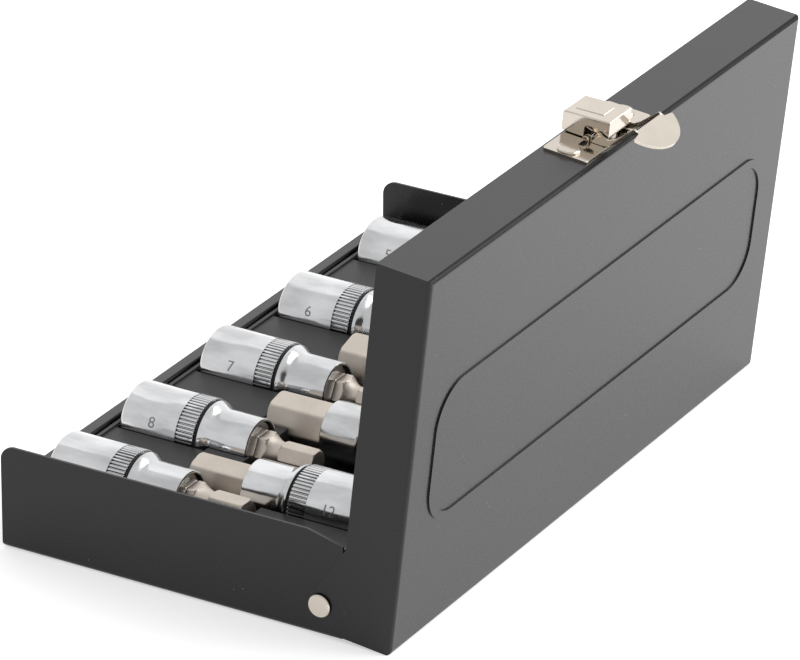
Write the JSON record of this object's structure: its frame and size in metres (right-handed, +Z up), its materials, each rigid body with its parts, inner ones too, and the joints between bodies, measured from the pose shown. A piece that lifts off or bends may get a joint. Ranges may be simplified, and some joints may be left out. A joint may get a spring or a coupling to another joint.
{
  "type": "socket organizer drawer box",
  "caption": "Low sheet-steel case with a hinged lid standing open, a draw latch on the lid's front wall and chrome hex-bit sockets lying head to tail in a moulded insert",
  "frame": {"origin": "centre of the base's underside", "axes": "+X along the case towards the end seen in the picture, +Y from front to rear (hinge side), +Z up"},
  "size_m": [0.2346, 0.1722, 0.1342],
  "materials": {
    "paint": "charcoal semi-gloss paint on sheet steel",
    "tray": "dark moulded plastic, lightly shiny",
    "chrome": "polished chrome plate",
    "bit": "warm satin nickel on tool steel",
    "nickel": "bright nickel plate",
    "spring": "bright spring steel"
  },
  "bodies": {
    "case": {"base_shell": "paint", "insert_tray": "tray", "latch_keeper": "nickel", "keeper_rivets": "nickel", "hinge_rivets": "nickel"},
    "lid": {"lid_shell": "paint", "latch_plate": "nickel", "latch_rivets": "nickel", "lever_pin": "nickel"},
    "lever": {"latch_lever": "nickel", "hood_pin": "nickel"},
    "hood": {"latch_hood": "nickel", "latch_spring": "spring"},
    "set_a1": {"socket_a1": "chrome", "bit_a1": "bit"},
    "set_a2": {"socket_a2": "chrome", "bit_a2": "bit"},
    "set_a3": {"socket_a3": "chrome", "bit_a3": "bit"},
    "set_a4": {"socket_a4": "chrome", "bit_a4": "bit"},
    "set_a5": {"socket_a5": "chrome", "bit_a5": "bit"},
    "set_b1": {"socket_b1": "chrome", "bit_b1": "bit"},
    "set_b2": {"socket_b2": "chrome", "bit_b2": "bit"},
    "set_b3": {"socket_b3": "chrome", "bit_b3": "bit"},
    "set_b4": {"socket_b4": "chrome", "bit_b4": "bit"}
  },
  "joints": [
    {"name": "lid_hinge", "type": "hinge", "parent": "case", "child": "lid", "pos_m": [0, 0.0531, 0.0108], "axis": [1, 0, 0], "range_deg": [0, 96]},
    {"name": "lever_hinge", "type": "hinge", "parent": "lid", "child": "lever", "pos_m": [0, 0.08155, 0.12746], "axis": [1, 0, 0], "range_deg": [0, 75]},
    {"name": "hood_hinge", "type": "hinge", "parent": "lever", "child": "hood", "pos_m": [0, 0.08531, 0.12878], "axis": [1, 0, 0], "range_deg": [-90, 0]},
    {"name": "lift_a1", "type": "slide", "parent": "case", "child": "set_a1", "axis": [0, 0, -1], "range_m": [-0.04, 0]},
    {"name": "lift_a2", "type": "slide", "parent": "case", "child": "set_a2", "axis": [0, 0, -1], "range_m": [-0.04, 0]},
    {"name": "lift_a3", "type": "slide", "parent": "case", "child": "set_a3", "axis": [0, 0, -1], "range_m": [-0.04, 0]},
    {"name": "lift_a4", "type": "slide", "parent": "case", "child": "set_a4", "axis": [0, 0, -1], "range_m": [-0.04, 0]},
    {"name": "lift_a5", "type": "slide", "parent": "case", "child": "set_a5", "axis": [0, 0, -1], "range_m": [-0.04, 0]},
    {"name": "lift_b1", "type": "slide", "parent": "case", "child": "set_b1", "axis": [0, 0, -1], "range_m": [-0.04, 0]},
    {"name": "lift_b2", "type": "slide", "parent": "case", "child": "set_b2", "axis": [0, 0, -1], "range_m": [-0.04, 0]},
    {"name": "lift_b3", "type": "slide", "parent": "case", "child": "set_b3", "axis": [0, 0, -1], "range_m": [-0.04, 0]},
    {"name": "lift_b4", "type": "slide", "parent": "case", "child": "set_b4", "axis": [0, 0, -1], "range_m": [-0.04, 0]}
  ],
  "couplings": [
    {"joint": "hood_hinge", "follows": "lever_hinge", "ratio": -1.2}
  ]
}
